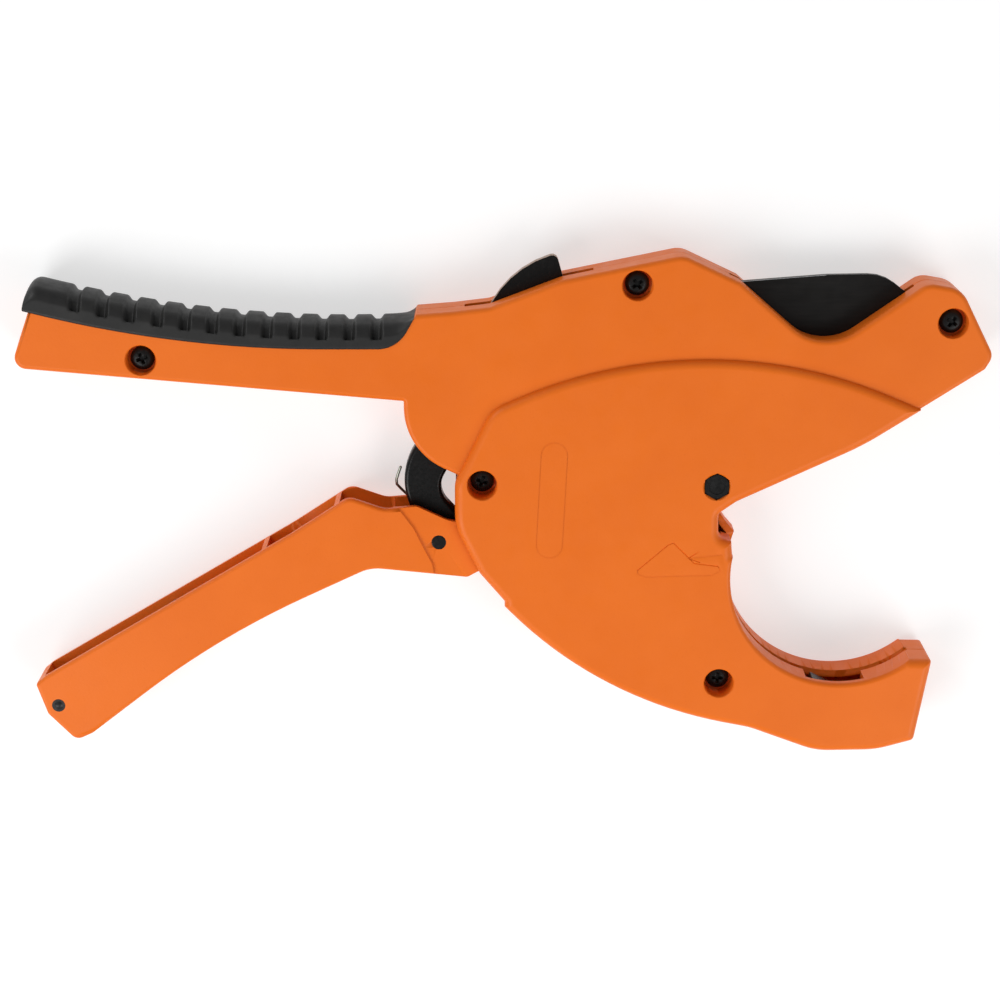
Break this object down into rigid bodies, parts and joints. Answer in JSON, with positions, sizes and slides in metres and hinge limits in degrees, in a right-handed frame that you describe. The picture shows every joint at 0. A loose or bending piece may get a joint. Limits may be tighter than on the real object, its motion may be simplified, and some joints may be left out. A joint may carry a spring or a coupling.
{
  "type": "pvc pipe cutter",
  "caption": "Ratcheting cutter for plastic pipe: hooked jaw with a round throat, swinging blade, squeeze handle, thumb release and ribbed grip.",
  "frame": {"origin": "centre of the pipe throat, in the parting plane of the two body shells", "axes": "+Z along the axis of the pipe being cut, out of the front shell; +X towards the jaws; +Y from the lower handle to the upper handle. The tool lies on the rear shell's flat housing face."},
  "size_m": [0.3229, 0.1725, 0.025],
  "materials": {
    "orange_casting": "orange powder coat, satin",
    "grip_rubber": "moulded black rubber, satin",
    "black_screw": "black oxide",
    "blade_steel": "black non-stick coating, ground edge",
    "black_steel": "black oxide, worn edges",
    "bare_steel": "machined steel",
    "zinc_steel": "zinc plated",
    "pin_steel": "dark pin with a peened grey end",
    "spring_steel": "oiled spring wire"
  },
  "bodies": {
    "frame": {"front_shell": "orange_casting", "rear_shell": "orange_casting", "handle_grip": "grip_rubber", "shell_screws": "black_screw", "shell_nuts": "zinc_steel", "pivot_bolt": "black_screw", "pivot_nut": "zinc_steel", "pivot_bush": "bare_steel", "pivot_washers": "zinc_steel", "blade_return_spring": "spring_steel", "handle_pin": "bare_steel", "handle_spring": "spring_steel", "release_pin": "bare_steel", "release_spring": "spring_steel", "blade_guide": "black_steel"},
    "blade_assembly": {"blade": "blade_steel", "ratchet_plates": "bare_steel", "blade_rivets": "bare_steel"},
    "handle": {"lower_handle": "orange_casting", "pawl_pin": "black_screw", "tail_pin": "pin_steel"},
    "pawl": {"drive_pawl": "black_steel", "pawl_spring": "spring_steel"},
    "lever": {"release_lever": "black_steel"},
    "bail": {"lock_bail": "zinc_steel"}
  },
  "joints": [
    {"name": "blade_swing", "type": "hinge", "parent": "frame", "child": "blade_assembly", "pos_m": [-0.0435, 0.032, 0], "axis": [0, 0, 1], "range_deg": [-99, 0]},
    {"name": "handle_squeeze", "type": "hinge", "parent": "frame", "child": "handle", "pos_m": [-0.112, 0.008, 0], "axis": [0, 0, 1], "range_deg": [-22, 0], "stiffness_Nm_per_rad": 0.8, "springref_deg": 20.05},
    {"name": "pawl_follow", "type": "hinge", "parent": "handle", "child": "pawl", "pos_m": [-0.1367, 0.0114, 0], "axis": [0, 0, 1], "range_deg": [-1, 23]},
    {"name": "release_press", "type": "hinge", "parent": "frame", "child": "lever", "pos_m": [-0.09, 0.078, 0], "axis": [0, 0, 1], "range_deg": [0, 9], "stiffness_Nm_per_rad": 0.3, "springref_deg": -17.19},
    {"name": "bail_swing", "type": "hinge", "parent": "handle", "child": "bail", "pos_m": [-0.2682, -0.0471, 0], "axis": [0, 0, 1], "range_deg": [0, 62]}
  ],
  "couplings": [
    {"joint": "pawl_follow", "follows": "handle_squeeze", "ratio": -1}
  ]
}
